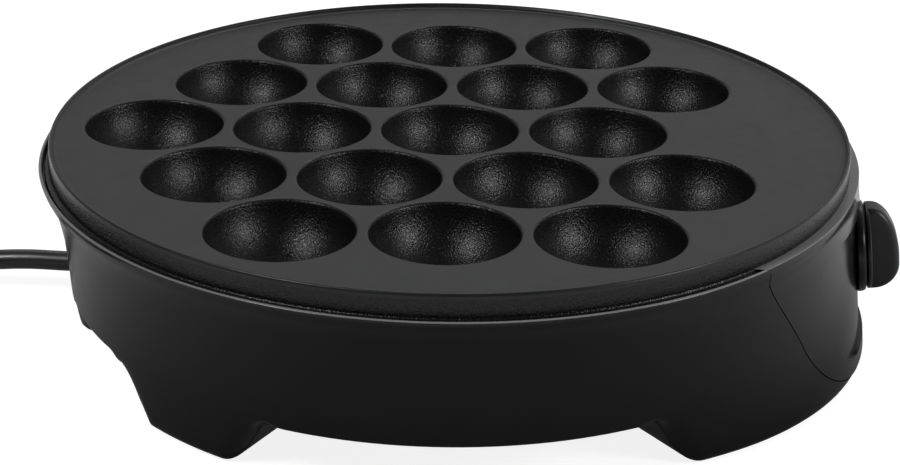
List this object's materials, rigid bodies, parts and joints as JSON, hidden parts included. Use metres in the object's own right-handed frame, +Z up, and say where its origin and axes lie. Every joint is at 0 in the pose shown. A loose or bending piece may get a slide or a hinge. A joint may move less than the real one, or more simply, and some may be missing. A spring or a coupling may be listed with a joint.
{
  "type": "takoyaki maker",
  "caption": "Round electric takoyaki maker: a cast plate with round pits lifts off a moulded base with a thermostat knob and a mains lead.",
  "frame": {"origin": "on the table, under the middle of the outline without the lead", "axes": "+Z up, +X towards the control panel and its knob, the lead leaves on the -X side"},
  "size_m": [0.3612, 0.2599, 0.0593],
  "materials": {
    "plate_coat": "non-stick coated casting, satin",
    "shell_plastic": "glossy black moulding",
    "panel_plastic": "glossy black moulding",
    "knob_plastic": "satin dark grey",
    "bezel_plastic": "satin black",
    "lens_red": "clear red",
    "lamp": "small neon lamp",
    "steel": "zinc plated",
    "element_sheath": "dull annealed sheath",
    "reflector": "bright sheet",
    "ceramic": "glazed ceramic",
    "copper": "bare copper",
    "brass": "machined",
    "rubber": "matt black",
    "cord_rubber": "matt black sheath",
    "wire_brown": "insulated wire",
    "wire_blue": "insulated wire",
    "wire_red": "heat-proof sleeve",
    "wire_black": "heat-proof sleeve"
  },
  "bodies": {
    "base": {"base_shell": "shell_plastic", "control_panel": "panel_plastic", "knob_bezel": "bezel_plastic", "thermostat_body": "ceramic", "thermostat_bracket": "steel", "thermostat_screws": "steel", "pilot_lens": "lens_red", "pilot_lamp": "lamp", "reflector_pan": "reflector", "reflector_screws": "steel", "heating_element": "element_sheath", "element_terminals": "ceramic", "element_brackets": "steel", "sensor_cup": "copper", "sensor_bracket": "steel", "sensor_capillary": "copper", "thermal_fuse": "ceramic", "fuse_clip": "steel", "terminal_block": "ceramic", "terminal_screws": "brass", "cord_boot": "rubber", "inner_cord": "cord_rubber", "live_wire": "wire_brown", "neutral_wire": "wire_blue", "feed_wire": "wire_red", "return_wire": "wire_black", "link_wire": "wire_red", "bottom_cover": "reflector", "cover_screws": "steel", "rubber_feet": "rubber", "cord_lead": "cord_rubber", "cord_coil": "cord_rubber", "plug_boot": "rubber", "plug_body": "rubber", "plug_pins": "brass"},
    "plate": {"cooking_plate": "plate_coat"},
    "knob": {"control_knob": "knob_plastic", "thermostat_shaft": "steel"}
  },
  "joints": [
    {"name": "plate_lift", "type": "slide", "parent": "base", "child": "plate", "axis": [0, 0, 1], "range_m": [0, 0.06]},
    {"name": "knob_turn", "type": "hinge", "parent": "base", "child": "knob", "pos_m": [0.11088, 0, 0.0288], "axis": [-0.9943, 0, -0.1065], "range_deg": [0, 270]}
  ]
}
